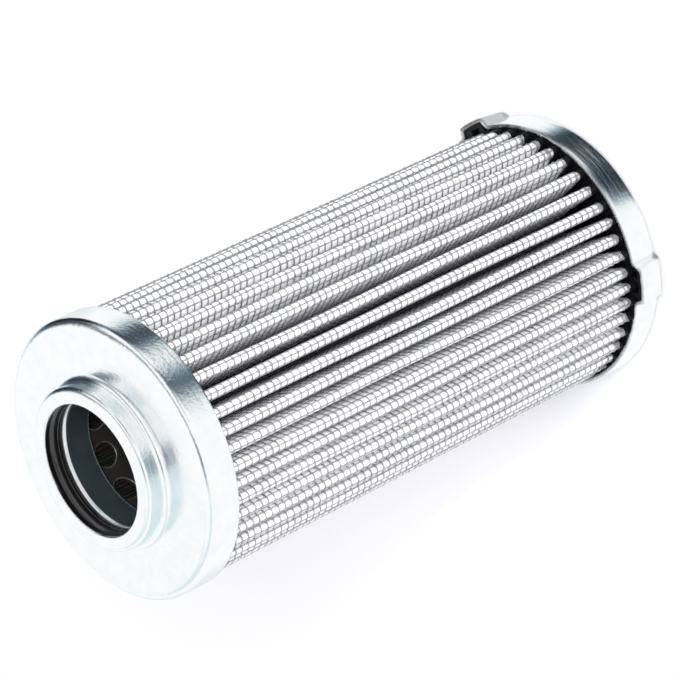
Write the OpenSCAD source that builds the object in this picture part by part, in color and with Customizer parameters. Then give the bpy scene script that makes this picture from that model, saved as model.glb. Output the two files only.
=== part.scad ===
// Pleated high-pressure filter element for a hydraulic filter housing.
// It stands on its closed end: z = 0 is the outer face of the closed cap, and the
// neck that plugs onto the housing's spigot points up. Millimetres.

/* [Body] */
// Outer diameter of both end caps
cap_d = 52; // [50:0.5:58]
// Height from the closed cap's face to the open cap's face
body_h = 111.8; // [80:0.1:160]
// Thickness of the pressed steel sheet of the caps
sheet_t = 0.65; // [0.5:0.05:0.8]
// Height of the skirt around each cap
skirt_h = 6.5; // [5.5:0.1:9]
// Outer bend radius between a cap's face and its skirt
cap_bend = 1.4; // [1:0.1:2.5]

/* [Neck] */
// Bore of the sleeve that slides over the spigot
bore_d = 24; // [22:0.1:24.5]
// Height of the neck above the open cap's face
neck_h = 4.2; // [4:0.1:6]
// Radius at the foot of the neck
neck_foot = 1; // [0.6:0.1:1.5]
// Radius around the neck's outer edge
neck_edge = 0.8; // [0.7:0.1:1.2]
// How much wider than the bore the neck's lip is, on the radius
lip_gap = 0.15; // [0.1:0.05:0.5]
// Thickness of the O-ring
seal_d = 2.46; // [2.2:0.02:2.6]
// How far the O-ring stands into the bore
seal_proud = 0.05; // [0:0.01:0.1]

/* [Sleeve] */
// Wall of the pressed sleeve below the O-ring
sleeve_t = 0.6; // [0.4:0.05:0.8]
// Length of the sleeve
sleeve_len = 6.15; // [4:0.05:10]
// Radius at the sleeve's mouth
sleeve_mouth = 0.55; // [0.3:0.05:0.9]

/* [Core] */
// Wall of the perforated support tube
core_t = 0.8; // [0.6:0.05:0.95]
// Diameter of the holes in the support tube
hole_d = 4.5; // [2.5:0.1:5.5]
// Holes in each row
holes_round = 12; // [6:1:12]
// Rows of holes
hole_rows = 10; // [4:1:10]
// Distance between rows of holes
row_pitch = 10.2; // [7:0.1:10.5]
// Depth of the top row below the open cap's face
top_row = 8.8; // [8:0.1:12]

/* [Pleats] */
// Number of folds around the pack
pleats = 44; // [36:1:45]
// Space between the pleat tips and the skirts
tip_gap = 0.1; // [0.05:0.05:1.5]
// Sideways lean of the folds at their tips, in degrees about the axis
lean = 1; // [0:0.1:1]
// Base thickness of the outer wire mesh, and of the inner one
mesh_t = 0.2; // [0.15:0.01:0.25]
// Thickness of the fleece on either side of the filter layer
fleece_t = 0.1; // [0.06:0.01:0.14]
// Thickness of the glass fibre filter layer
media_t = 0.26; // [0.15:0.01:0.28]
// Space between two layers
layer_gap = 0.02; // [0.01:0.005:0.03]
// Space between the two legs inside a fold
fold_gap = 0.06; // [0.02:0.01:0.1]

/* [Mesh wires] */
// Distance between the lengthwise wires of the outer mesh
wire_pitch = 1.5; // [1.2:0.05:1.6]
// Thickness of a wire
wire_d = 0.25; // [0.15:0.01:0.3]
// How far a wire stands out of the sheet
wire_proud = 0.12; // [0.05:0.01:0.15]
// Ridges on each side of a fold's crest
side_wires = 2; // [1:1:3]

/* [Side seam] */
// Sheet of the clip that closes the pack
clip_t = 0.3; // [0.2:0.05:0.35]
// Depth of the clip over the two ends of the pack
clip_depth = 4; // [2.5:0.1:5]

/* [Adhesive] */
// Thickness of the adhesive between a cap and the end of the pack
bed_t = 1; // [0.5:0.1:2]
// How far the adhesive stays below the edge of a skirt
glue_drop = 0.3; // [0.1:0.1:1.5]

/* [Lugs] */
// Number of lugs pressed out of the closed cap's skirt
lugs = 3; // [2:1:6]
// Width of a lug where it leaves the skirt
lug_w = 8; // [6:0.1:10]
// How far a lug stands out at the skirt's edge
lug_h = 1.8; // [0.8:0.1:2]
// Lean of a lug's outer face, outwards for each millimetre up
lug_lean = 0.1; // [0:0.01:0.12]
// Slope of a lug's flanks, sideways for each millimetre outwards
lug_slope = 0.45; // [0.2:0.05:0.8]
// Height at which a lug starts above the closed face
lug_start = 0.5; // [0.4:0.05:0.7]

/* [Hidden] */
$fn = 96;
// Colours of the pieces
zinc = [0.86, 0.88, 0.89];
rubber_black = [0.08, 0.08, 0.09];
sleeve_grey = [0.35, 0.42, 0.45];
core_brown = [0.30, 0.28, 0.26];
wire_grey = [0.55, 0.56, 0.57];
fleece_white = [0.96, 0.96, 0.95];
glass_white = [0.93, 0.92, 0.88];
clip_grey = [0.75, 0.77, 0.78];
adhesive_black = [0.10, 0.10, 0.11];

// Clearance between pieces that lie against each other on a curved face
seat = 0.03;
// Overrun of a cutting shape past the face that it cuts
over = 1;

// Caps and neck
cap_r = cap_d / 2;
skirt_in = cap_r - sheet_t;
bore_r = bore_d / 2;
seal_in = bore_r - seal_proud;
neck_in = seal_in + seal_d + seat;
neck_r = neck_in + sheet_t;
lip_r = bore_r + lip_gap;
lip_edge = 0.25;
neck_top = body_h + neck_h;

// Sleeve, seal and core
gland_h = seal_d + 2 * lip_edge;
sleeve_top = neck_top - sheet_t - gland_h - lip_gap;
sleeve_low = sleeve_top - sleeve_len;
core_r = neck_in - seat;
core_in = core_r - core_t;
core_low = sheet_t;
core_top = sleeve_top - sleeve_t;
hole_turn = 84;

// Bend at the foot of a lug, inside the cap's own bend
lug_bend = cap_bend - 0.3 * sheet_t;

// Ends of the pack, held between the two beds of adhesive
pack_low = sheet_t + bed_t;
pack_top = body_h - sheet_t - bed_t;
glue_low = skirt_h - glue_drop;

// Thickness of the pack, and how deep each layer lies under its outer face
pack_t = 2 * mesh_t + 2 * fleece_t + media_t + 4 * layer_gap;
outer_fleece_at = mesh_t + layer_gap;
media_at = outer_fleece_at + fleece_t + layer_gap;
inner_fleece_at = media_at + media_t + layer_gap;
inner_mesh_at = inner_fleece_at + fleece_t + layer_gap;

// Share of a wire's thickness that its flat top takes
wire_flat = 0.4;

// A fold is two legs side by side: half its width, and the radius of its tip's centre
half_w = pack_t + fold_gap / 2;
tip_r = skirt_in - tip_gap;
fold_r = tip_r - wire_proud - half_w;
pitch = 360 / pleats;
// The roots lie on the core: centre of each root bend, and foot of each fold's axis
root_r = (core_r + seat - fold_gap / 2) / (1 - sin(pitch / 2));
foot_r = root_r * cos(pitch / 2);
// The first fold is the seam, on the far side from the front
seam_turn = 91.3;

function polar(r, a) = [r * cos(a), r * sin(a)];
function across(a) = [-sin(a), cos(a)];
function cross_len(v, a) = v * across(a);

// Folds are not laid evenly: their tips drift sideways, in waves around the pack
function wave(i, waves, phase) = sin(360 * waves * i / pleats + phase);
function drift(i) = lean * (1.7 * wave(i, 1, 40) + 0.9 * wave(i, 2, -110) + 0.6 * wave(i, 4, -83)
    + 0.25 * wave(i, 9, 5));
function turn(i) = seam_turn + i * pitch;
function foot(i) = polar(foot_r, turn(i));
function tip(i) = polar(fold_r, turn(i) + drift(i));
// Direction in which a fold points, from its foot to its tip
function aim(i) = turn(i) + atan2(fold_r * sin(drift(i)), fold_r * cos(drift(i)) - foot_r);

// The bend between fold i and the next one, for a face at half width h
function root_bend(i, h) =
    let (c = polar(root_r, turn(i) + pitch / 2),
         a = cross_len(c - foot(i), aim(i)) - h,
         b = cross_len(foot(i + 1) - c, aim(i + 1)) - h,
         sweep = 180 - aim(i + 1) + aim(i),
         steps = 2 + floor(2 * max(a, b)))
    [for (k = [0:steps]) c + polar(a + (b - a) * k / steps, aim(i) - 90 - sweep * k / steps)];

// The round tip of fold i, for a face at half width h
function tip_bend(i, h) =
    let (steps = 2 + 2 * floor(2 * h))
    [for (k = [0:steps]) tip(i) + polar(h, aim(i) - 90 + 180 * k / steps)];

// A point on the outside of fold i, s along the face from its crest and lifted off it
function on_fold(i, s, lift) =
    let (bend = half_w * PI / 2,
         side = s < 0 ? -1 : 1,
         down = max(0, abs(s) - bend),
         a = side * min(90, abs(s) / half_w * 180 / PI))
    tip(i) + polar(half_w + lift, aim(i) + a) - polar(down, aim(i));

// The tip of fold i with the lengthwise wires of the mesh standing out of it
function wired_tip(i) = [
    for (k = [-side_wires:side_wires])
        each concat(
            [for (q = [[-0.5, 0], [-wire_flat / 2, 1], [wire_flat / 2, 1], [0.5, 0]])
                on_fold(i, k * wire_pitch + q[0] * wire_d, q[1] * wire_proud)],
            k < side_wires ? [on_fold(i, (k + 0.5) * wire_pitch, 0)] : [])
];

// End of the pack at the seam, where the two legs stop before the clip's bend
seam_end = 2 * clip_t + seat + wire_proud;
function seam_point(h) = tip(0) + polar(half_w - seam_end, aim(0)) + h * across(aim(0));

// Face of a layer from one leg of the seam, around the pack, to the other leg
function layer_face(h) = concat(
    [seam_point(h)],
    [for (i = [0:pleats - 1]) each concat(root_bend(i, h), i < pleats - 1 ? tip_bend(i + 1, h) : [])],
    [seam_point(-h)]);
function wired_face() = concat(
    [seam_point(half_w)],
    [for (i = [0:pleats - 1]) each concat(root_bend(i, half_w), i < pleats - 1 ? wired_tip(i + 1) : [])],
    [seam_point(-half_w)]);
function reversed(list) = [for (k = [len(list) - 1:-1:0]) list[k]];

// One pleated layer, from its depth in the pack and its thickness
module pleated_layer(depth, t, wired = false) {
    outside = wired ? wired_face() : layer_face(half_w - depth);
    translate([0, 0, pack_low])
        linear_extrude(pack_top - pack_low)
            polygon(concat(outside, reversed(layer_face(half_w - depth - t))));
}

// Half section of a disc with one rounded edge at its foot
module round_foot(r, h, bend) {
    translate([0, bend])
        square([r, h - bend]);
    square([r - bend, h]);
    translate([r - bend, bend])
        circle(bend);
}

// Half section of the space inside a cap, from its floor to past its skirt
module cap_hollow() {
    translate([0, sheet_t])
        round_foot(skirt_in, skirt_h - sheet_t + over, cap_bend - sheet_t);
}

// A ring that leans out as the lugs do, from z = low to top and r wide at the skirt's edge,
// which the wedges cut into lugs
module lug_ring(r, low, top, bend) {
    foot = r - (skirt_h - low) * lug_lean;
    middle = [foot - bend * (sqrt(1 + lug_lean * lug_lean) - lug_lean), low + bend];
    steps = 4;
    rotate_extrude()
        polygon(concat(
            [[0, low]],
            [for (k = [0:steps]) middle + polar(bend, (90 - atan(lug_lean)) * k / steps - 90)],
            [[foot + (top - low) * lug_lean, top], [0, top]]));
}

// A solid wedge over one lug, narrower by inset on each side
module lug_wedge(inset) {
    reach = cap_r + lug_h + over;
    root = skirt_in - over;
    side = lug_w / 2 - inset * sqrt(1 + lug_slope * lug_slope);
    y_root = side + (cap_r - root) * lug_slope;
    y_reach = side + (cap_r - reach) * lug_slope;
    translate([0, 0, -over])
        linear_extrude(skirt_h + 3 * over)
            polygon([[root, -y_root], [reach, -y_reach], [reach, y_reach], [root, y_root]]);
}

module around_lugs() {
    for (i = [0:lugs - 1])
        rotate([0, 0, i * 360 / lugs])
            children();
}

module closed_end_cap() {
    color(zinc)
        difference() {
            union() {
                rotate_extrude()
                    round_foot(cap_r, skirt_h + over, cap_bend);
                around_lugs()
                    intersection() {
                        lug_ring(cap_r + lug_h, lug_start, skirt_h + 2 * over, lug_bend);
                        lug_wedge(0);
                    }
            }
            rotate_extrude()
                cap_hollow();
            around_lugs()
                intersection() {
                    lug_ring(skirt_in + lug_h, lug_start + sheet_t, skirt_h + 2 * over, lug_bend - sheet_t);
                    lug_wedge(sheet_t);
                }
            // The skirt and its lugs are trimmed to one edge
            translate([0, 0, skirt_h])
                cylinder(r = cap_r + lug_h + over, h = 3 * over);
        }
}

// Half section of the open cap's outside: face, foot of the neck and neck
module open_cap_outside() {
    translate([0, body_h])
        mirror([0, 1])
            round_foot(cap_r, skirt_h, cap_bend);
    translate([0, neck_top])
        mirror([0, 1])
            round_foot(neck_r, neck_h + sheet_t / 2, neck_edge);
    difference() {
        translate([0, body_h - sheet_t / 2])
            square([neck_r + neck_foot, neck_foot + sheet_t / 2]);
        translate([neck_r + neck_foot, body_h + neck_foot])
            circle(neck_foot);
    }
}

// Half section of the space under the sheet of the open cap
module open_cap_inside() {
    translate([0, body_h])
        mirror([0, 1])
            cap_hollow();
    translate([0, body_h - skirt_h])
        square([neck_in, skirt_h + neck_h - sheet_t]);
    difference() {
        translate([0, body_h - 2 * sheet_t])
            square([neck_r + neck_foot, neck_foot + 2 * sheet_t]);
        translate([neck_r + neck_foot, body_h + neck_foot])
            circle(neck_foot + sheet_t);
    }
    translate([0, body_h])
        square([lip_r, neck_h + over]);
    difference() {
        translate([0, neck_top - lip_edge])
            square([lip_r + lip_edge, lip_edge + over]);
        translate([lip_r + lip_edge, neck_top - lip_edge])
            circle(lip_edge);
        translate([lip_r + lip_edge, neck_top - lip_edge])
            square([over, 2 * over]);
    }
}

module open_end_cap() {
    color(zinc)
        rotate_extrude()
            difference() {
                open_cap_outside();
                open_cap_inside();
            }
}

module o_ring() {
    color(rubber_black)
        translate([0, 0, sleeve_top + seat + seal_d / 2])
            rotate_extrude()
                translate([seal_in + seal_d / 2, 0])
                    circle(seal_d / 2);
}

module seal_retainer() {
    color(sleeve_grey)
        rotate_extrude()
            difference() {
                union() {
                    translate([bore_r, sleeve_low])
                        square([sleeve_t, sleeve_len]);
                    translate([bore_r, core_top])
                        square([core_r - bore_r, sleeve_t]);
                }
                difference() {
                    translate([bore_r - over, sleeve_top - sleeve_mouth])
                        square([over + sleeve_mouth, sleeve_mouth + over]);
                    translate([bore_r + sleeve_mouth, sleeve_top - sleeve_mouth])
                        circle(sleeve_mouth);
                }
            }
}

module core_tube() {
    color(core_brown)
        difference() {
            translate([0, 0, core_low])
                cylinder(r = core_r, h = core_top - core_low);
            translate([0, 0, core_low - over])
                cylinder(r = core_in, h = core_top - core_low + 2 * over);
            for (row = [0:hole_rows - 1], k = [0:holes_round - 1])
                translate([0, 0, body_h - top_row - row * row_pitch])
                    rotate([0, 0, hole_turn + (k + (row % 2) / 2) * 360 / holes_round])
                        translate([core_in - over, 0, 0])
                            rotate([0, 90, 0])
                                cylinder(d = hole_d, h = core_t + 2 * over, $fn = 32);
        }
}

module outer_mesh() {
    color(wire_grey)
        pleated_layer(0, mesh_t, wired = true);
}

module outer_fleece() {
    color(fleece_white)
        pleated_layer(outer_fleece_at, fleece_t);
}

module glass_media() {
    color(glass_white)
        pleated_layer(media_at, media_t);
}

module inner_fleece() {
    color(fleece_white)
        pleated_layer(inner_fleece_at, fleece_t);
}

module inner_mesh() {
    color(wire_grey)
        pleated_layer(inner_mesh_at, mesh_t);
}

// The folded strip that grips both ends of the pack along the seam
module side_seam_clip() {
    inside = half_w + seat;
    crown = half_w - wire_proud;
    color(clip_grey)
        translate([tip(0)[0], tip(0)[1], pack_low])
            rotate([0, 0, aim(0) + 90])
                linear_extrude(pack_top - pack_low)
                    for (side = [0, 1])
                        mirror([side, 0])
                            translate([0, -crown])
                                difference() {
                                    round_foot(inside + clip_t, clip_depth + clip_t, 2 * clip_t);
                                    translate([0, clip_t])
                                        round_foot(inside, clip_depth + over, clip_t);
                                }
}

// Outline of the pack in a bed of adhesive: the folds run out to the skirt, with the seam clip
module pack_outline() {
    grown = half_w + seat;
    wired = grown + wire_proud;
    wide = half_w + clip_t + 2 * seat;
    reach = half_w + tip_gap + over;
    wires_low = half_w * PI / 2 - side_wires * wire_pitch - wire_d;
    polygon([
        for (i = [0:pleats - 1])
            each concat(
                [for (q = [[wires_low, -1], [reach, -1], [reach, 1], [wires_low, 1]])
                    tip(i) + polar(q[0], aim(i)) + q[1] * wired * across(aim(i))],
                root_bend(i, grown))
    ]);
    translate(tip(0))
        rotate(aim(0))
            translate([half_w - seam_end - clip_depth, -wide])
                square([clip_depth + over, 2 * wide]);
}

// One bed of adhesive, built as for the closed cap: it fills the cap around the pack
module adhesive_bed(pockets) {
    difference() {
        union() {
            rotate_extrude()
                translate([0, sheet_t])
                    round_foot(skirt_in - seat, skirt_h - sheet_t, cap_bend - sheet_t);
            if (pockets)
                around_lugs()
                    intersection() {
                        lug_ring(skirt_in + lug_h - seat, lug_start + sheet_t + seat, skirt_h + over,
                            lug_bend - sheet_t);
                        lug_wedge(sheet_t + seat);
                    }
        }
        translate([0, 0, -over])
            cylinder(r = core_r + seat, h = skirt_h + 2 * over);
        translate([0, 0, pack_low])
            linear_extrude(skirt_h)
                pack_outline();
        // The bed and its pockets end at one level
        translate([0, 0, glue_low])
            cylinder(r = cap_r + lug_h + over, h = 2 * over);
    }
}

module closed_end_adhesive() {
    color(adhesive_black)
        adhesive_bed(pockets = true);
}

module open_end_adhesive() {
    color(adhesive_black)
        translate([0, 0, body_h])
            mirror([0, 0, 1])
                adhesive_bed(pockets = false);
}

open_end_cap();
closed_end_cap();
o_ring();
seal_retainer();
core_tube();
outer_mesh();
outer_fleece();
glass_media();
inner_fleece();
inner_mesh();
side_seam_clip();
open_end_adhesive();
closed_end_adhesive();
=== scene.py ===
from math import atan2, ceil, cos, floor, hypot, pi, radians, sin, tau

import bmesh
import bpy
from mathutils import Matrix, Vector


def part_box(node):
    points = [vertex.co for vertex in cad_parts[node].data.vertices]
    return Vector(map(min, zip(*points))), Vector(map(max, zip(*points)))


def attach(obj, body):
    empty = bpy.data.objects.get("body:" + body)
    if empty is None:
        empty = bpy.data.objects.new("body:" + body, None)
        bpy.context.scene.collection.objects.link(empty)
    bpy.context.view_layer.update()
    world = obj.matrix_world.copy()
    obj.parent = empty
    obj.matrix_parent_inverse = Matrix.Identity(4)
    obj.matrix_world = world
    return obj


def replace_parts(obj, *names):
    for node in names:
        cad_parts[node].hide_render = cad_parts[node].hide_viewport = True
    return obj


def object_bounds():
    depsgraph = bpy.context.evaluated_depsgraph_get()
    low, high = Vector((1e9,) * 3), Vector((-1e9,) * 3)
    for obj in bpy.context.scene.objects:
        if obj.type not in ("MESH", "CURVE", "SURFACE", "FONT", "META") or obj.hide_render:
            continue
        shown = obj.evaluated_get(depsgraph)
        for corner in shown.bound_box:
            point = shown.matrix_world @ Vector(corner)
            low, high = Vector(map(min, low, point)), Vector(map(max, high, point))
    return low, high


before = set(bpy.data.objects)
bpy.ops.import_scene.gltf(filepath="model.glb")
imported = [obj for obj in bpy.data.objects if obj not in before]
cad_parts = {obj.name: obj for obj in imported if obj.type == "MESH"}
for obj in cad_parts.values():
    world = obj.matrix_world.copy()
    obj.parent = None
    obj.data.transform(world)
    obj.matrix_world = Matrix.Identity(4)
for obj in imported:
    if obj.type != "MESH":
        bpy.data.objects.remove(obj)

bl_info = {
    "name": "Hydraulic filter element",
    "version": (1, 0, 0),
    "blender": (4, 5, 0),
    "location": "View3D > Sidebar > Filter",
    "description": "Dresses a pleated filter element: woven wire mesh, fleece, adhesive and plated caps",
    "category": "Object",
}

MM = 0.001
CAD_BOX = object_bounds()
CLOSED_GLUE_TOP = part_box("closed_end_adhesive")[1].z
OPEN_GLUE_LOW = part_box("open_end_adhesive")[0].z
PACK_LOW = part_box("outer_fleece")[0].z
PACK_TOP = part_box("outer_fleece")[1].z
SLEEVE_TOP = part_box("seal_retainer")[1].z


def mm(value):
    """Metres from millimetres."""
    return value * MM


def hex_colour(value):
    """Linear colour from an sRGB hex value."""
    def linear(c):
        return c / 12.92 if c <= 0.04045 else ((c + 0.055) / 1.055) ** 2.4
    return tuple(linear(int(value[k:k + 2], 16) / 255) for k in (1, 3, 5)) + (1.0,)


# Properties


def length(name, description, value):
    return bpy.props.FloatProperty(
        name=name, description=description, default=mm(value), unit="LENGTH", precision=5)


def angle(name, description, value):
    return bpy.props.FloatProperty(
        name=name, description=description, default=radians(value), unit="ROTATION")


def number(name, description, value):
    return bpy.props.FloatProperty(name=name, description=description, default=value)


def place(name, description, *value):
    return bpy.props.FloatVectorProperty(
        name=name, description=description, subtype="TRANSLATION", unit="LENGTH",
        default=[mm(v) for v in value])


def colour(name, description, value):
    return bpy.props.FloatVectorProperty(
        name=name, description=description, subtype="COLOR", size=4, min=0, max=1, default=hex_colour(value))


class PleatSizes(bpy.types.PropertyGroup):
    """The folded pack, as the frame has it"""

    folds: bpy.props.IntProperty(name="Folds", description="Number of folds around the pack", default=44)
    half_width: length("Half width", "Half the width of one fold", 0.97)
    tip_radius: length("Tip radius", "Radius on which the round tips are centred", 24.16)
    root_radius: length("Root radius", "Radius on which the bends between folds are centred", 15.517)
    seam_angle: angle("Seam angle", "Direction of the first fold, the seam", 91.3)
    lean: angle("Lean", "How far the tips drift sideways", 1)
    wander: angle("Wander", "How far a tip wanders sideways along the element", 0.35)


class MeshSizes(bpy.types.PropertyGroup):
    """The woven wire mesh on the outside of the pack and the fleece under it"""

    wire: length("Wire", "Thickness of a wire", 0.2)
    long_pitch: length("Lengthwise pitch", "Distance between lengthwise wires", 1.5)
    cross_pitch: length("Crosswise pitch", "Distance between crosswise wires", 1.535)
    weave: length("Weave", "How far a wire swings over and under the others", 0.045)
    stagger: length("Stagger", "How far the middle lengthwise wire stands off a fold's crest", 0.4)
    ripple: length("Ripple", "How far a crosswise wire strays up and down", 0.14)
    wire_depth: length("Wire depth", "Depth of the middle of the mesh under the outside of a fold", 0.04)
    fleece_depth: length("Fleece depth", "Depth of the fleece's face under the outside of a fold", 0.1)
    fleece_thickness: length("Fleece thickness", "Thickness of the fleece", 0.2)
    pillow: length("Pillow", "How far the fleece puffs out between the wires", 0.16)


class AdhesiveSizes(bpy.types.PropertyGroup):
    """The potting compound that creeps up the folds at the closed cap"""

    crown_climb: length("Climb on crowns", "Height of the film on a fold's crown above the bed", 1.4)
    groove_climb: length("Climb in grooves", "Height of the film between two folds above the bed", 4.2)
    film: length("Film", "Thickness of the film over the outside of a fold", 0.11)


class FinishColours(bpy.types.PropertyGroup):
    """Colours of the finishes"""

    zinc: colour("Zinc", "Bright blue passivated zinc on pressed steel", "#fdfefe")
    zinc_shade: colour("Zinc shade", "Duller patches of the plating", "#f6fafc")
    wire: colour("Wire", "Drawn steel wire of the mesh", "#c6c6c8")
    fleece: colour("Fleece", "Spun polyester fleece", "#f8f8f8")
    # Painted shade: the grey that the fleece shows in the creases along the wires
    crease_shade: colour("Pressed fleece", "Fleece where a wire presses on it", "#a9a9b1")
    adhesive: colour("Adhesive", "Black two-part potting compound", "#141416")
    rubber: colour("Rubber", "Nitrile rubber of the O-ring", "#161315")
    sleeve: colour("Sleeve", "Oiled steel of the sleeve", "#5f6f74")
    core: colour("Core", "Oiled perforated steel of the core", "#5e5c59")
    glass: colour("Glass fibre", "Glass fibre filter layer", "#f0ede2")
    clip: colour("Clip", "Bare steel strip of the side seam", "#b9bdc0")


class StageSettings(bpy.types.PropertyGroup):
    """Floor, lamps and camera"""

    camera_place: place("Camera", "Place of the camera", 0.5, -537.79, 457.55)
    camera_target: place("Target", "Point in the middle of the picture", 2.05, 28.0, 35.27)
    camera_roll: angle("Roll", "Turn of the camera about its view, which lays the element down", -115.748)
    lens: number("Lens", "Focal length on a sensor 36 mm wide", 198.4)
    floor: colour("Floor", "Pale floor", "#ececee")
    floor_lift: number("Floor lift", "Brightness added to the floor for the camera", 0.015)
    fade_start: length("Fade start", "Distance at which the floor begins to fade into white", 250)
    fade_end: length("Fade end", "Distance beyond which the floor isn't seen", 700)
    fill: colour("Fill", "Even light of the surroundings", "#f6f6fa")
    white: colour("Studio white", "Studio as metal shows it", "#ffffff")
    pale: colour("Studio edge", "Pale edges of the studio as metal shows them", "#cfe3e8")
    teal: colour("Studio shade", "Shaded parts of the studio as metal shows them", "#7a8e9c")
    room: colour("Room", "Dark stretches of the room as metal shows them", "#1c242e")
    key: number("Key lamp", "Power of the soft lamp beside the camera", 4.1)
    key_place: place("Key lamp's place", "Place of the soft lamp beside the camera", 70, -620, 560)
    key_size: length("Key lamp's size", "Width of the soft lamp beside the camera", 220)
    side: number("Side lamp", "Power of the soft lamp at the side", 0.8)
    side_place: place("Side lamp's place", "Place of the soft lamp at the side", 550, -50, 500)
    side_size: length("Side lamp's size", "Width of the soft lamp at the side", 500)
    low: number("Low lamp", "Power of the soft lamp low on the other side", 0.25)
    low_place: place("Low lamp's place", "Place of the soft lamp low on the other side", -450, -350, 300)
    low_size: length("Low lamp's size", "Width of the soft lamp low on the other side", 500)


# Folds of the pack, for the mesh, the fleece and the adhesive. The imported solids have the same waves.

# Sideways drift of the tips: waves around the pack, share of the lean, and phase in degrees
DRIFT = [(1, 1.7, 40), (2, 0.9, -110), (4, 0.6, -83), (9, 0.25, 5)]
# Wander of a tip along the element: share, and how far its wave turns from one fold to the next and
# from one cap to the other, in radians
WANDER = [(1, 2.4, 5), (0.6, 5.1, 11)]
# Stagger of the wires: how far its wave turns from one fold to the next and where it begins, in radians
STAGGER_TURN, STAGGER_START = 2.7, 0.6
# Distance counted between neighbouring points of the bend from fold to fold
BEND_STEP = mm(0.3)


def polar(r, a):
    """Point at a radius and an angle."""
    return Vector((r * cos(a), r * sin(a)))


def across(a):
    """Direction square to an angle."""
    return Vector((-sin(a), cos(a)))


def drift(p, i):
    """Sideways drift of fold i's tip about the axis."""
    return p.lean * sum(
        share * sin(tau * waves * i / p.folds + radians(phase)) for waves, share, phase in DRIFT)


def wander(p, i, z):
    """How far the tip of fold i stands aside at height z, nothing at the caps."""
    span = (z - PACK_LOW) / (PACK_TOP - PACK_LOW)
    swing = sin(pi * span) * sum(share * sin(turn * i + run * span) for share, turn, run in WANDER)
    return p.wander * swing if i % p.folds else 0


def stagger(m, i):
    """How far the middle lengthwise wire stands off the crest of fold i."""
    return m.stagger * sin(STAGGER_TURN * i + STAGGER_START)


def first_ring(m):
    """Height of the lowest crosswise wire, which is hidden in the adhesive."""
    return CLOSED_GLUE_TOP - 0.5 * m.cross_pitch


class Fold:
    """Where fold i stands at height z."""

    def __init__(self, p, i, z):
        pitch = tau / p.folds
        self.h = p.half_width
        self.bend = p.half_width * pi / 2
        self.foot = polar(p.root_radius * cos(pitch / 2), p.seam_angle + i * pitch)
        self.tip = polar(p.tip_radius, p.seam_angle + i * pitch + drift(p, i) + wander(p, i, z))
        way = self.tip - self.foot
        self.aim = atan2(way.y, way.x)
        self.leg = way.length

    def at(self, s, depth):
        """Point of the fold, s along it from the crest, at a depth under the outside."""
        side = 1 if s > 0 else -1
        down = max(0, abs(s) - self.bend)
        turn = side * min(pi / 2, abs(s) / self.h)
        return self.tip + polar(self.h - depth, self.aim + turn) - polar(down, self.aim)


def root_bend(p, one, two, i, depth, steps):
    """Bend from fold i to the next one at a depth under the outside."""
    centre = polar(p.root_radius, p.seam_angle + (i + 0.5) * tau / p.folds)
    start = (centre - one.foot).dot(across(one.aim)) - one.h + depth
    end = (two.foot - centre).dot(across(two.aim)) - two.h + depth
    ahead = two.aim + (tau if two.aim < one.aim - pi else 0)
    sweep = pi - ahead + one.aim
    points = []
    for k in range(steps + 1):
        radius = start + (end - start) * k / steps
        points.append(centre + polar(radius, one.aim - pi / 2 - sweep * k / steps))
    return points


def outline(p, z, depth_at, crown_steps, leg_steps, root_steps):
    """Points of a pleated face at height z, from one leg of the seam around to the other.

    depth_at gives a point's depth from its fold and its distance along the fold from the crest.
    Each point comes with that fold and that distance, so that patterns can follow the folds."""
    folds = [Fold(p, i, z) for i in range(p.folds + 1)]
    points = []

    def add(i, s):
        points.append((folds[i].at(s, depth_at(i, s)), i, s))

    for i in range(p.folds):
        one, two = folds[i], folds[i + 1]
        if i:
            for k in range(-crown_steps, crown_steps + 1):
                add(i, one.bend * k / crown_steps)
        for k in range(1, leg_steps):
            add(i, one.bend + one.leg * k / leg_steps)
        far = one.bend + one.leg
        bends = root_bend(p, one, two, i, depth_at(i, far), root_steps)
        points += [(q, i, far + k * BEND_STEP) for k, q in enumerate(bends)]
        for k in range(leg_steps - 1, 0, -1):
            add(i + 1, -two.bend - two.leg * k / leg_steps)
    return points


# Meshes


def placed(name, mesh):
    """An object of the scene that rides on the element."""
    piece = bpy.data.objects.new(name, mesh)
    bpy.context.scene.collection.objects.link(piece)
    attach(piece, "root")
    return piece


def sway(p, bm):
    """Lets the folds wander along the element: each point moves with the fold that it lies on."""
    pitch = tau / p.folds
    for v in bm.verts:
        v.co.z = round(v.co.z, 7)  # Subdivision leaves its last digit to chance
        share = max(0, (hypot(v.co.x, v.co.y) - p.root_radius) / (p.tip_radius - p.root_radius))
        turn = atan2(v.co.y, v.co.x) - p.seam_angle
        near = round((turn % tau) / pitch)

        def away(i):
            return abs((turn - i * pitch - share * drift(p, i) + pi) % tau - pi)

        fold = min((near - 1, near, near + 1), key=away)
        v.co.xy = Matrix.Rotation(share * wander(p, fold % p.folds, v.co.z), 2) @ v.co.xy


def smooth_mesh(name, bm, material, sharp):
    """A mesh made from a bmesh, shaded smooth but for edges sharper than an angle in degrees.

    An extrusion makes its points and faces in any order. They are sorted by their places, so that the mesh
    comes out the same each time."""
    bmesh.ops.recalc_face_normals(bm, faces=bm.faces)
    for parts, spot in ((bm.verts, lambda vert: vert.co[:]),
                        (bm.faces, lambda face: face.calc_center_median()[:])):
        rank = {part: k for k, part in enumerate(sorted(parts, key=spot))}
        parts.sort(key=rank.get)
    for face in bm.faces:
        face.smooth = True
    mesh = bpy.data.meshes.new(name)
    bm.to_mesh(mesh)
    bm.free()
    mesh.set_sharp_from_angle(angle=radians(sharp))
    mesh.materials.append(material)
    return mesh


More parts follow.
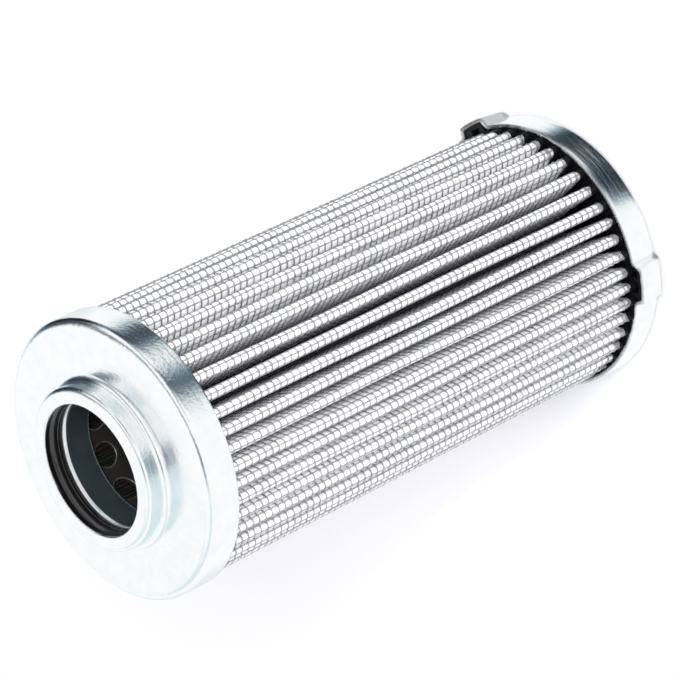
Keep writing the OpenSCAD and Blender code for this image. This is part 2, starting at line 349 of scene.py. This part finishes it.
def wires(name, paths, thickness, material):
    """Round wires along paths of points, as one closed mesh."""
    curve = bpy.data.curves.new(name, "CURVE")
    curve.dimensions = "3D"
    curve.bevel_depth = thickness / 2
    curve.bevel_resolution = 1
    curve.use_fill_caps = True
    for path in paths:
        spline = curve.splines.new("POLY")
        spline.points.add(len(path) - 1)
        spline.points.foreach_set("co", [c for q in path for c in (*q, 1)])
    carrier = bpy.data.objects.new(name + "_curve", curve)
    bpy.context.scene.collection.objects.link(carrier)
    graph = bpy.context.evaluated_depsgraph_get()
    mesh = bpy.data.meshes.new_from_object(carrier.evaluated_get(graph))
    bpy.data.objects.remove(carrier)
    bpy.data.curves.remove(curve)
    mesh.name = name
    mesh.materials.clear()
    mesh.materials.append(material)
    mesh.polygons.foreach_set("use_smooth", [True] * len(mesh.polygons))
    return placed(name, mesh)


# Materials


class Nodes:
    """A node tree, to which nodes are added."""

    def __init__(self, tree):
        self.tree = tree

    def add(self, kind, inputs=None, **settings):
        """Adds a node with its settings. Its inputs get a link from a socket, or a constant."""
        node = self.tree.nodes.new(kind)
        for name, value in settings.items():
            if hasattr(node, name):
                setattr(node, name, value)
            else:
                node.inputs[name.replace("_", " ")].default_value = value
        for name, source in (inputs or {}).items():
            if isinstance(source, bpy.types.NodeSocket):
                self.tree.links.new(source, node.inputs[name])
            else:
                node.inputs[name].default_value = source
        return node

    def mirrored(self, path):
        """1 for a ray that was mirrored or bent on its way here, 0 for any other."""
        rays = {0: path.outputs["Is Glossy Ray"], 1: path.outputs["Is Transmission Ray"]}
        return self.add("ShaderNodeMath", rays, operation="MAXIMUM").outputs[0]


class Finish(Nodes):
    """A material and its shader. Values are set on the shader's own sockets."""

    def __init__(self, name, **values):
        self.material = bpy.data.materials.new(name)
        self.material.use_nodes = True
        super().__init__(self.material.node_tree)
        self.shader = self.tree.nodes["Principled BSDF"]
        for socket, value in values.items():
            self.shader.inputs[socket.replace("_", " ")].default_value = value
        self.place = self.add("ShaderNodeTexCoord").outputs["Object"]

    def from_axis(self):
        """The way to the place from the element's axis."""
        level = self.add("ShaderNodeVectorMath", {0: self.place, 1: (1, 1, 0)}, operation="MULTIPLY")
        return level.outputs["Vector"]

    def into(self, **sources):
        """Links sources to the shader's sockets."""
        for socket, source in sources.items():
            self.tree.links.new(source, self.shader.inputs[socket.replace("_", " ")])


def scaled(tone, share):
    """A colour made darker or brighter, up to white."""
    return [min(1, c * share) for c in tone[:3]] + [1]


def drawn_out(f, normal, blend):
    """A normal turned toward the outside of the closed cap's skirt, in the height of the lugs."""
    out = f.add("ShaderNodeVectorMath", {0: f.from_axis()}, operation="NORMALIZE").outputs["Vector"]
    facing = f.add("ShaderNodeVectorMath", {0: out, 1: normal}, operation="DOT_PRODUCT")
    outside = f.add("ShaderNodeMapRange", {"Value": facing.outputs["Value"]}, To_Max=blend)
    height = f.add("ShaderNodeSeparateXYZ", {"Vector": f.place})
    above = f.add("ShaderNodeMapRange", {"Value": height.outputs["Z"]}, From_Min=mm(1), From_Max=mm(2.5))
    share = f.add("ShaderNodeMath", {0: outside.outputs["Result"], 1: above.outputs["Result"]},
                  operation="MULTIPLY")
    pull = f.add("ShaderNodeVectorMath", {0: out, "Scale": share.outputs[0]}, operation="SCALE")
    turned = f.add("ShaderNodeVectorMath", {0: normal, 1: pull.outputs["Vector"]}, operation="ADD")
    drawn = f.add("ShaderNodeVectorMath", {0: turned.outputs["Vector"]}, operation="NORMALIZE")
    return drawn.outputs["Vector"]


def zinc_plate(name, colours, edge, speckle, blend=0):
    """Blue passivated zinc on cold-rolled sheet, of which the edges look rounded by a radius.

    The patches give the faint blue clouds of the plating, the grain its fine speckle where it shows the
    dark room, and the streaks the draw marks around the skirts. The blend makes the flat sides of the lugs
    look drawn out of the skirt."""
    f = Finish(name, Metallic=1.0)
    cloud = f.add("ShaderNodeTexNoise", {"Vector": f.place}, Scale=1 / mm(3.5), Detail=5.0, Roughness=0.65)
    patches = f.add("ShaderNodeMapRange", {"Value": cloud.outputs["Fac"]}, From_Min=0.4, From_Max=0.65)
    tone = f.add("ShaderNodeMix", {"Factor": patches.outputs["Result"]}, data_type="RGBA",
                 A=colours.zinc, B=colours.zinc_shade)
    grain = f.add("ShaderNodeTexNoise", {"Vector": f.place}, Scale=1 / mm(0.6), Detail=4.0, Roughness=0.6)
    gloss = f.add("ShaderNodeMapRange", {"Value": grain.outputs["Fac"]}, To_Min=0.08, To_Max=0.24)
    along = f.add("ShaderNodeMapping", {"Vector": f.place}, Scale=(0.12, 0.12, 1))
    streaks = f.add("ShaderNodeTexNoise", {"Vector": along.outputs["Vector"]}, Scale=1 / mm(0.7), Detail=2.0)
    normal = f.add("ShaderNodeBevel", samples=6, Radius=edge).outputs["Normal"]
    if blend:
        normal = drawn_out(f, normal, blend)
    rolled = f.add("ShaderNodeBump", {"Height": streaks.outputs["Fac"], "Normal": normal},
                   Strength=0.3, Distance=mm(0.08))
    bump = f.add("ShaderNodeBump", {"Height": grain.outputs["Fac"], "Normal": rolled.outputs["Normal"]},
                 Strength=speckle, Distance=mm(0.08))
    f.into(Base_Color=tone.outputs["Result"], Roughness=gloss.outputs["Result"],
           Normal=bump.outputs["Normal"])
    return f.material


def steel_wire(colours):
    """Drawn steel wire: grey metal, which the cloud gives slightly duller and brighter stretches."""
    f = Finish("drawn_steel_wire", Metallic=0.9, Roughness=0.32)
    cloud = f.add("ShaderNodeTexNoise", {"Vector": f.place}, Scale=1 / mm(3), Detail=2.0)
    tone = f.add("ShaderNodeMix", {"Factor": cloud.outputs["Fac"]}, data_type="RGBA",
                 A=scaled(colours.wire, 0.75), B=scaled(colours.wire, 1.25))
    f.into(Base_Color=tone.outputs["Result"])
    return f.material


def spun_fleece(colours, m):
    """Spun polyester fleece under the mesh: matt white.

    The pillows puff out between the wires, with painted shade in grey creases along the wires, and the fibres
    break the face. Potting compound has soaked into it near the closed cap, and painted shade darkens it
    toward the roots of the folds."""
    f = Finish("spun_polyester_fleece", Roughness=0.92, Sheen_Weight=0.1)
    along = f.add("ShaderNodeAttribute", attribute_name="fold_way")
    height = f.add("ShaderNodeSeparateXYZ", {"Vector": f.place})
    swells = []
    for source, start, pitch in ((along.outputs["Fac"], 0, m.long_pitch),
                                 (height.outputs["Z"], first_ring(m), m.cross_pitch)):
        turn = f.add("ShaderNodeMapRange", {"Value": source}, clamp=False, From_Min=start,
                     From_Max=start + pitch, To_Max=pi)
        wave = f.add("ShaderNodeMath", {0: turn.outputs["Result"]}, operation="SINE")
        swells.append(f.add("ShaderNodeMath", {0: wave.outputs[0]}, operation="ABSOLUTE").outputs[0])
    pillow = f.add("ShaderNodeMath", {0: swells[0], 1: swells[1]}, operation="MULTIPLY").outputs[0]
    round_pillow = f.add("ShaderNodeMath", {0: pillow}, operation="SQRT").outputs[0]
    # Painted shade: the fleece's colour turns grey toward the wires, in the creases between the pillows
    outside_crease_shade = f.add("ShaderNodeMapRange", {"Value": round_pillow}, From_Min=0.2, From_Max=0.6)
    tone = f.add("ShaderNodeMix", {"Factor": outside_crease_shade.outputs["Result"]}, data_type="RGBA",
                 A=colours.crease_shade, B=colours.fleece)
    fibres = f.add("ShaderNodeTexNoise", {"Vector": f.place}, Scale=1 / mm(0.3), Detail=3.0)
    blots = f.add("ShaderNodeTexNoise", {"Vector": f.place}, Scale=1 / mm(1.2), Detail=3.0)
    reach = f.add("ShaderNodeMapRange", {"Value": blots.outputs["Fac"]}, From_Min=0.3, From_Max=0.7,
                  To_Min=CLOSED_GLUE_TOP + mm(1.5), To_Max=CLOSED_GLUE_TOP + mm(4.5))
    above = f.add("ShaderNodeMath", {0: height.outputs["Z"], 1: reach.outputs["Result"]},
                  operation="SUBTRACT")
    soak = f.add("ShaderNodeMapRange", {"Value": above.outputs[0]}, From_Min=-mm(1.5), From_Max=mm(0.5),
                 To_Min=0.75, To_Max=0.0)
    stained = f.add("ShaderNodeMix", {"Factor": soak.outputs["Result"], "A": tone.outputs["Result"]},
                    data_type="RGBA", B=colours.adhesive)
    # Painted shade: the colour darkens toward the roots of the folds, to a tenth at 18.5 mm from the axis and
    # not at all beyond 22.4 mm
    radius = f.add("ShaderNodeVectorMath", {0: f.from_axis()}, operation="LENGTH")
    dull = f.add("ShaderNodeMapRange", {"Value": radius.outputs["Value"]}, From_Min=mm(18.5),
                 From_Max=mm(22.4), To_Min=0.1, To_Max=1.0)
    tone_with_painted_groove_shade = f.add("ShaderNodeVectorMath", {0: stained.outputs["Result"], "Scale": dull.outputs["Result"]},
                   operation="SCALE")
    rough = f.add("ShaderNodeBump", {"Height": fibres.outputs["Fac"]}, Strength=0.2, Distance=mm(0.05))
    bump = f.add("ShaderNodeBump", {"Height": round_pillow, "Normal": rough.outputs["Normal"]},
                 Distance=m.pillow)
    f.into(Base_Color=tone_with_painted_groove_shade.outputs["Vector"], Normal=bump.outputs["Normal"])
    return f.material


def potting(colours):
    """Cured black potting compound: smooth, and the ripple bends its soft shine."""
    f = Finish("black_potting_compound", Base_Color=colours.adhesive, Roughness=0.3,
               Specular_IOR_Level=0.12)
    ripple = f.add("ShaderNodeTexNoise", {"Vector": f.place}, Scale=1 / mm(1.5), Detail=2.0)
    bump = f.add("ShaderNodeBump", {"Height": ripple.outputs["Fac"]}, Strength=0.3, Distance=mm(0.2))
    f.into(Normal=bump.outputs["Normal"])
    return f.material


def nitrile(colours):
    """Moulded nitrile rubber: black, with a grain in its gloss, and a coat of oil for soft highlights."""
    f = Finish("nitrile_rubber", Base_Color=colours.rubber, IOR=1.52, Coat_Weight=1.0,
               Coat_Roughness=0.16, Coat_IOR=1.47)
    grain = f.add("ShaderNodeTexNoise", {"Vector": f.place}, Scale=1 / mm(0.4), Detail=2.0)
    gloss = f.add("ShaderNodeMapRange", {"Value": grain.outputs["Fac"]}, To_Min=0.28, To_Max=0.46)
    f.into(Roughness=gloss.outputs["Result"])
    return f.material


def oiled_steel(name, tone, roughness):
    """Cold-rolled steel under a film of oil: dark metal, of which the cloud makes tone and gloss uneven.

    Edges are rounded, and their colour is brightened, partly as wear and partly as painted glints, so that
    the rims of the punched holes show small glints."""
    f = Finish(name, Metallic=0.75)
    edges = f.add("ShaderNodeBevel", samples=6, Radius=mm(0.45))
    cloud = f.add("ShaderNodeTexNoise", {"Vector": f.place}, Scale=1 / mm(4), Detail=4.0)
    uneven = f.add("ShaderNodeMix", {"Factor": cloud.outputs["Fac"]}, data_type="RGBA",
                   A=scaled(tone, 0.7), B=scaled(tone, 1.3))
    face = f.add("ShaderNodeNewGeometry").outputs["True Normal"]
    turn = f.add("ShaderNodeVectorMath", {0: face, 1: edges.outputs["Normal"]}, operation="DOT_PRODUCT")
    # Wear and painted glints: where the rounded edge turns from the face, the colour is brightened up to
    # sevenfold
    edge_wear_and_painted_glint = f.add("ShaderNodeMapRange", {"Value": turn.outputs["Value"]}, From_Min=0.97, From_Max=0.85)
    wear_and_painted_glints = f.add("ShaderNodeMix", {"Factor": edge_wear_and_painted_glint.outputs["Result"], "A": uneven.outputs["Result"]},
                 data_type="RGBA", B=scaled(tone, 7))
    gloss = f.add("ShaderNodeMapRange", {"Value": cloud.outputs["Fac"]}, To_Min=roughness - 0.08,
                  To_Max=roughness + 0.1)
    f.into(Base_Color=wear_and_painted_glints.outputs["Result"], Roughness=gloss.outputs["Result"],
           Normal=edges.outputs["Normal"])
    return f


def sleeve_steel(colours):
    """The sleeve's oiled steel, with a rolled top on which a band of bright zinc colour is painted as a
    highlight.

    The band is narrow on one side and as deep as the roll on the other."""
    f = oiled_steel("oiled_sleeve_steel", colours.sleeve, 0.34)
    roll_depth = mm(1.1)
    # Painted highlight: the top of the roll is coloured bright zinc, in a band that deepens toward +Y
    at = f.add("ShaderNodeSeparateXYZ", {"Vector": f.place})
    low = f.add("ShaderNodeMapRange", {"Value": at.outputs["Y"]}, From_Min=-mm(1), From_Max=mm(9),
                To_Min=SLEEVE_TOP - mm(0.2), To_Max=SLEEVE_TOP - roll_depth)
    above = f.add("ShaderNodeMath", {0: at.outputs["Z"], 1: low.outputs["Result"]}, operation="SUBTRACT")
    painted_highlight_band = f.add("ShaderNodeMapRange", {"Value": above.outputs[0]}, From_Max=mm(0.1))
    roll = f.add("ShaderNodeMapRange", {"Value": at.outputs["Z"]}, From_Min=SLEEVE_TOP - roll_depth,
                 From_Max=SLEEVE_TOP, To_Min=1.0, To_Max=0.0)
    flare = f.add("ShaderNodeBump", {"Height": roll.outputs["Result"]}, Distance=roll_depth)
    dull = f.shader.inputs["Base Color"].links[0].from_socket
    tone = f.add("ShaderNodeMix", {"Factor": painted_highlight_band.outputs["Result"], "A": dull}, data_type="RGBA",
                 B=colours.zinc)
    metal = f.add("ShaderNodeMapRange", {"Value": painted_highlight_band.outputs["Result"]}, To_Min=0.75, To_Max=1.0)
    f.into(Base_Color=tone.outputs["Result"], Metallic=metal.outputs["Result"],
           Normal=flare.outputs["Normal"])
    return f.material


def paper(name, tone):
    """Filter sheet inside the pack: matt, with fibres a little greyer than the rest."""
    f = Finish(name, Roughness=0.95)
    fibres = f.add("ShaderNodeTexNoise", {"Vector": f.place}, Scale=1 / mm(0.3), Detail=3.0)
    mix = f.add("ShaderNodeMix", {"Factor": fibres.outputs["Fac"]}, data_type="RGBA",
                A=scaled(tone, 0.9), B=tone)
    f.into(Base_Color=mix.outputs["Result"])
    return f.material


def pale_floor(g):
    """Matt pale floor that keeps the element's shadow and looks white around it.

    A mirror ray passes through it to the studio, so metal shows the same surroundings above and below.
    Far from the element it fades into the white background."""
    f = Finish("pale_floor", Roughness=0.9, Specular_IOR_Level=0.0, Base_Color=g.floor,
               Emission_Color=g.floor)
    path = f.add("ShaderNodeLightPath")
    lift = f.add("ShaderNodeMapRange", {"Value": path.outputs["Is Camera Ray"]}, To_Max=g.floor_lift)
    f.into(Emission_Strength=lift.outputs["Result"])
    distance = f.add("ShaderNodeVectorMath", {0: f.place}, operation="LENGTH")
    far = f.add("ShaderNodeMapRange", {"Value": distance.outputs["Value"]}, From_Min=g.fade_start,
                From_Max=g.fade_end)
    faded = f.add("ShaderNodeMath", {0: far.outputs["Result"], 1: path.outputs["Is Camera Ray"]},
                  operation="MULTIPLY")
    gone = f.add("ShaderNodeMath", {0: f.mirrored(path), 1: faded.outputs[0]}, operation="MAXIMUM")
    clear = f.add("ShaderNodeBsdfTransparent")
    pick = f.add("ShaderNodeMixShader", {0: gone.outputs[0], 1: f.shader.outputs[0], 2: clear.outputs[0]})
    f.tree.links.new(pick.outputs[0], f.tree.nodes["Material Output"].inputs["Surface"])
    return f.material


# Dark stretches of the room in the studio's white: compass direction of the middle, in degrees from the
# front toward +X, height of the middle, as the Z of a direction one long, half width in degrees, half height,
# and how dark each is
ROOM = [
    (31, -0.32, 11, 0.29, 0.84),
    (84, -0.32, 16, 0.29, 0.95),
    (54, -0.82, 44, 0.21, 1),
    (126, -0.08, 28, 0.27, 1),
    (50, 0, 45, 0.05, 1),
    (132, 0.3, 25, 0.3, 0.9),
    (45, 0.72, 100, 0.06, 1),
    (64, 0.56, 16, 0.05, 0.33),
    (-27, 0.56, 15, 0.08, 0.75),
    (-104, 0.56, 68, 0.1, 0.24),
    (180, -0.3, 40, 0.3, 0.15),
]
# Half the width of a stretch's soft edge, across and upright
SOFT_TURN, SOFT_HEIGHT = radians(9), 0.025


def studio(g):
    """White studio around the element with an even light. Only metal shows the dark stretches of the room."""
    world = bpy.data.worlds.new("studio")
    world.use_nodes = True
    f = Nodes(world.node_tree)
    way = f.add("ShaderNodeSeparateXYZ", {0: f.add("ShaderNodeTexCoord").outputs["Generated"]})
    ahead = f.add("ShaderNodeMath", {0: way.outputs["Y"], 1: -1}, operation="MULTIPLY")
    compass = f.add("ShaderNodeMath", {0: way.outputs["X"], 1: ahead.outputs[0]},
                    operation="ARCTAN2").outputs[0]

    def within(source, middle, half, soft):
        """1 near the middle, 0 beyond the half width; angles go on over the back."""
        offset = f.add("ShaderNodeMath", {0: source, 1: middle}, operation="SUBTRACT")
        turn = f.add("ShaderNodeMath", {0: offset.outputs[0], 1: -pi, 2: pi}, operation="WRAP")
        away = f.add("ShaderNodeMath", {0: turn.outputs[0]}, operation="ABSOLUTE")
        return f.add("ShaderNodeMapRange", {"Value": away.outputs[0]}, interpolation_type="SMOOTHSTEP",
                     From_Min=half - soft, From_Max=half + soft, To_Min=1.0, To_Max=0.0).outputs[0]

    light = None
    for middle, height, half_turn, half_height, dark in ROOM:
        wide = within(compass, radians(middle), radians(half_turn), SOFT_TURN)
        tall = within(way.outputs["Z"], height, half_height, SOFT_HEIGHT)
        both = f.add("ShaderNodeMath", {0: wide, 1: tall}, operation="MULTIPLY")
        left = f.add("ShaderNodeMapRange", {"Value": both.outputs[0]}, To_Min=1.0, To_Max=1 - dark).outputs[0]
        if light:
            left = f.add("ShaderNodeMath", {0: light, 1: left}, operation="MINIMUM").outputs[0]
        light = left
    tones = f.add("ShaderNodeValToRGB", {"Fac": light})
    ramp = tones.color_ramp
    ramp.elements[0].color = g.room
    ramp.elements[1].color = g.white
    ramp.elements.new(0.4).color = g.teal
    ramp.elements.new(0.73).color = g.pale
    path = f.add("ShaderNodeLightPath")
    seen = f.add("ShaderNodeMix", {"Factor": f.mirrored(path), "B": tones.outputs["Color"]},
                 data_type="RGBA", A=g.fill)
    shown = f.add("ShaderNodeMix", {"Factor": path.outputs["Is Camera Ray"], "A": seen.outputs["Result"]},
                  data_type="RGBA", B=(1, 1, 1, 1))
    f.tree.links.new(shown.outputs["Result"], f.tree.nodes["Background"].inputs["Color"])
    return world


# Operators and panel


class FILTER_OT_finishes(bpy.types.Operator):
    """Gives the caps, the seal, the sleeve, the core and the inner layers their finishes"""

    bl_idname = "filter.finishes"
    bl_label = "Finishes of the solid pieces"

    def execute(self, context):
        c = context.scene.filter_colours
        finishes = {
            ("open_end_cap",): zinc_plate("zinc_plated_steel", c, edge=mm(0.4), speckle=0.45),
            ("closed_end_cap",): zinc_plate("zinc_plated_steel_lugs", c, edge=mm(1.6), speckle=0.2, blend=3),
            ("o_ring",): nitrile(c),
            ("seal_retainer",): sleeve_steel(c),
            ("core_tube",): oiled_steel("oiled_core_steel", c.core, roughness=0.16).material,
            ("side_seam_clip",): oiled_steel("bare_steel_strip", c.clip, roughness=0.35).material,
            ("glass_media",): paper("glass_fibre", c.glass),
            ("inner_fleece",): paper("inner_fleece", c.fleece),
            # Painted shade: the inner mesh takes the core's colour darkened to 0.4, so that it looks shaded
            # inside the core
            ("inner_mesh",): oiled_steel("oiled_steel_wire_painted_shade", scaled(c.core, 0.4), roughness=0.4).material,
            ("open_end_adhesive", "closed_end_adhesive"): potting(c),
        }
        for nodes, material in finishes.items():
            for node in nodes:
                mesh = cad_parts[node].data
                mesh.materials.clear()
                mesh.materials.append(material)
        return {"FINISHED"}


class FILTER_OT_fleece(bpy.types.Operator):
    """Builds the pleated fleece that shows through the wire mesh"""

    bl_idname = "filter.fleece"
    bl_label = "Pleated fleece"

    def execute(self, context):
        s = context.scene
        p, m = s.filter_pleats, s.filter_mesh
        rows = 14  # along the element
        bm = bmesh.new()
        way = bm.verts.layers.float.new("fold_way")

        def chain(depth):
            made = []
            for q, i, along in outline(p, PACK_LOW, lambda i, s: depth, crown_steps=6, leg_steps=4,
                                       root_steps=6):
                vert = bm.verts.new((*q, PACK_LOW))
                vert[way] = along - stagger(m, i)
                made.append(vert)
            return made

        face, back = chain(m.fleece_depth), chain(m.fleece_depth + m.fleece_thickness)
        for corners in zip(face, back, back[1:], face[1:]):
            bm.faces.new(corners)
        grown = bmesh.ops.extrude_face_region(bm, geom=bm.faces[:], use_keep_orig=True)
        top = [v for v in grown["geom"] if isinstance(v, bmesh.types.BMVert)]
        bmesh.ops.translate(bm, verts=top, vec=(0, 0, PACK_TOP - PACK_LOW))
        upright = [e for e in bm.edges if abs(e.verts[0].co.z - e.verts[1].co.z) > mm(1)]
        bmesh.ops.subdivide_edges(bm, edges=upright, cuts=rows - 1, use_grid_fill=True)
        sway(p, bm)
        mesh = smooth_mesh("pleated_fleece", bm, spun_fleece(s.filter_colours, m), sharp=60)
        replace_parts(placed("pleated_fleece", mesh), "outer_fleece")
        return {"FINISHED"}


class FILTER_OT_wires(bpy.types.Operator):
    """Weaves the wire mesh over the folds, crosswise wires first and lengthwise wires between them"""

    bl_idname = "filter.wires"
    bl_label = "Woven wire mesh"

    def execute(self, context):
        p, m = context.scene.filter_pleats, context.scene.filter_mesh
        material = steel_wire(context.scene.filter_colours)
        first = first_ring(m)
        rings = ceil((OPEN_GLUE_LOW - first) / m.cross_pitch) + 1
        groups = 4  # pieces that the crosswise wires are shared out to
        leg_rows = 12  # steps of a straight wire in a groove

        def ring(n):
            """Crosswise wire n, woven where the folds show it."""
            z = first + n * m.cross_pitch
            lift = m.weave * (-1) ** n

            def depth(i, s):
                off = s - stagger(m, i)
                near_crest = abs(s) < 2 * m.long_pitch
                return m.wire_depth + (lift * cos(pi * off / m.long_pitch) if near_crest else 0)

            def stray(q):
                """Two waves around the pack, which turn from ring to ring."""
                turn = atan2(q.y, q.x)
                return m.ripple * (sin(3 * turn + 0.6 * n) + 0.6 * sin(8 * turn + 1.3 * n))

            loop = outline(p, z, depth, crown_steps=4, leg_steps=4, root_steps=3)
            return [(*q, z + stray(q)) for q, _, _ in loop]

        def lengthwise(i, k):
            """Wire k of fold i, woven near the crest and straight in the groove."""
            woven = abs(k) <= 1
            if woven:
                steps, low = rings, first - 0.5 * m.cross_pitch
                high = first + (rings - 0.5) * m.cross_pitch
            else:
                steps, low, high = leg_rows, PACK_LOW, PACK_TOP
            path = []
            for n in range(steps + 1):
                z = low + (high - low) * n / steps
                swing = m.weave * (-1) ** k * cos(pi * (z - first) / m.cross_pitch) if woven else 0
                along = k * m.long_pitch + stagger(m, i)
                path.append((*Fold(p, i, z).at(along, m.wire_depth - swing), z))
            return path

        for g in range(groups):
            paths = [ring(n) for n in range(g * rings // groups, (g + 1) * rings // groups)]
            piece = wires(f"crosswise_wires_{g + 1}", paths, m.wire, material)
            if g == 0:
                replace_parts(piece, "outer_mesh")
        deepest = floor((p.tip_radius - p.root_radius) / m.long_pitch)
        crest = [lengthwise(i, k) for i in range(1, p.folds) for k in (-1, 0, 1)]
        legs = [lengthwise(i, k) for i in range(1, p.folds)
                for k in range(-deepest, deepest + 1) if abs(k) > 1]
        wires("lengthwise_wires_crest", crest, m.wire, material)
        wires("lengthwise_wires_legs", legs, m.wire, material)
        return {"FINISHED"}


class FILTER_OT_adhesive(bpy.types.Operator):
    """Adds the film of potting compound that creeps up the folds at the closed cap"""

    bl_idname = "filter.adhesive"
    bl_label = "Adhesive film"

    def execute(self, context):
        s = context.scene
        p, a = s.filter_pleats, s.filter_adhesive
        bend = p.half_width * pi / 2
        run_out = mm(4)  # way down a fold over which the film climbs from the crown's height to the groove's
        low = CLOSED_GLUE_TOP - mm(1)  # inside the bed
        bm = bmesh.new()
        climb = bm.verts.layers.float.new("climb")

        def chain(depth):
            made = []
            for q, _, along in outline(p, CLOSED_GLUE_TOP, lambda i, s: depth, crown_steps=5, leg_steps=4,
                                       root_steps=5):
                share = min(1, max(0, (abs(along) - bend) / run_out))
                turn = atan2(q.y, q.x)
                # Two fine ripples, and a climb that is higher on the side of +X
                ripple = 1 + 0.12 * sin(37 * turn) + 0.1 * sin(61 * turn + 1) + 0.3 * cos(turn - 0.35)
                vert = bm.verts.new((*q, low))
                vert[climb] = (a.crown_climb + (a.groove_climb - a.crown_climb) * share) * ripple
                made.append(vert)
            return made

        face, back = chain(-a.film), chain(s.filter_mesh.fleece_depth)
        for corners in zip(face, back, back[1:], face[1:]):
            bm.faces.new(corners)
        grown = bmesh.ops.extrude_face_region(bm, geom=bm.faces[:], use_keep_orig=True)
        for v in grown["geom"]:
            if isinstance(v, bmesh.types.BMVert):
                v.co.z = CLOSED_GLUE_TOP + v[climb]
        mesh = smooth_mesh("adhesive_film", bm, potting(s.filter_colours), sharp=40)
        placed("adhesive_film", mesh)
        return {"FINISHED"}


class FILTER_OT_stage(bpy.types.Operator):
    """Sets up the pale floor, the lamps, the surroundings and the camera"""

    bl_idname = "filter.stage"
    bl_label = "Stage"

    def execute(self, context):
        scene = context.scene
        g = scene.filter_stage
        scene.view_settings.view_transform = "Standard"
        scene.world = studio(g)

        bm = bmesh.new()
        bmesh.ops.create_grid(bm, x_segments=2, y_segments=2, size=6)
        mesh = bpy.data.meshes.new("floor")
        bm.to_mesh(mesh)
        bm.free()
        mesh.materials.append(pale_floor(g))
        ground = bpy.data.objects.new("floor", mesh)
        scene.collection.objects.link(ground)

        middle = Vector((0, 0, CAD_BOX[1].z / 2))

        def lamp(name, power, where, size):
            """A soft lamp aimed at the middle of the element. Metal shows the studio in its stead."""
            data = bpy.data.lights.new(name, "AREA")
            data.size = size
            data.energy = power
            item = bpy.data.objects.new(name, data)
            item.location = where
            item.rotation_euler = (middle - Vector(where)).to_track_quat("-Z", "Y").to_euler()
            item.visible_glossy = False
            scene.collection.objects.link(item)

        lamp("key_softbox", g.key, g.key_place, g.key_size)
        lamp("side_softbox", g.side, g.side_place, g.side_size)
        lamp("low_softbox", g.low, g.low_place, g.low_size)

        data = bpy.data.cameras.new("camera")
        data.lens = g.lens
        data.clip_start, data.clip_end = 0.05, 20
        camera = bpy.data.objects.new("camera", data)
        way = Vector(g.camera_target) - Vector(g.camera_place)
        turn = way.to_track_quat("-Z", "Y").to_matrix() @ Matrix.Rotation(g.camera_roll, 3, "Z")
        camera.matrix_world = Matrix.Translation(g.camera_place) @ turn.to_4x4()
        scene.collection.objects.link(camera)
        scene.camera = camera
        return {"FINISHED"}


class FILTER_PT_panel(bpy.types.Panel):
    """Lists the steps that dress the element, and their sizes and colours"""

    bl_idname = "FILTER_PT_panel"
    bl_label = "Filter element"
    bl_space_type = "VIEW_3D"
    bl_region_type = "UI"
    bl_category = "Filter"

    def draw(self, context):
        for step in STEPS:
            self.layout.operator(step.bl_idname)
        for group, kind in GROUPS.items():
            box = self.layout.box()
            for name in kind.__annotations__:
                box.prop(getattr(context.scene, group), name)


GROUPS = {
    "filter_pleats": PleatSizes,
    "filter_mesh": MeshSizes,
    "filter_adhesive": AdhesiveSizes,
    "filter_colours": FinishColours,
    "filter_stage": StageSettings,
}
STEPS = [FILTER_OT_finishes, FILTER_OT_fleece, FILTER_OT_wires, FILTER_OT_adhesive, FILTER_OT_stage]


def register():
    for kind in [*GROUPS.values(), *STEPS, FILTER_PT_panel]:
        bpy.utils.register_class(kind)
    for name, group in GROUPS.items():
        setattr(bpy.types.Scene, name, bpy.props.PointerProperty(type=group))


def unregister():
    for name in GROUPS:
        delattr(bpy.types.Scene, name)
    for kind in reversed([*GROUPS.values(), *STEPS, FILTER_PT_panel]):
        bpy.utils.unregister_class(kind)


def main():
    register()
    bpy.ops.filter.finishes()
    bpy.ops.filter.fleece()
    bpy.ops.filter.wires()
    bpy.ops.filter.adhesive()
    bpy.ops.filter.stage()


if __name__ == "__main__":
    main()
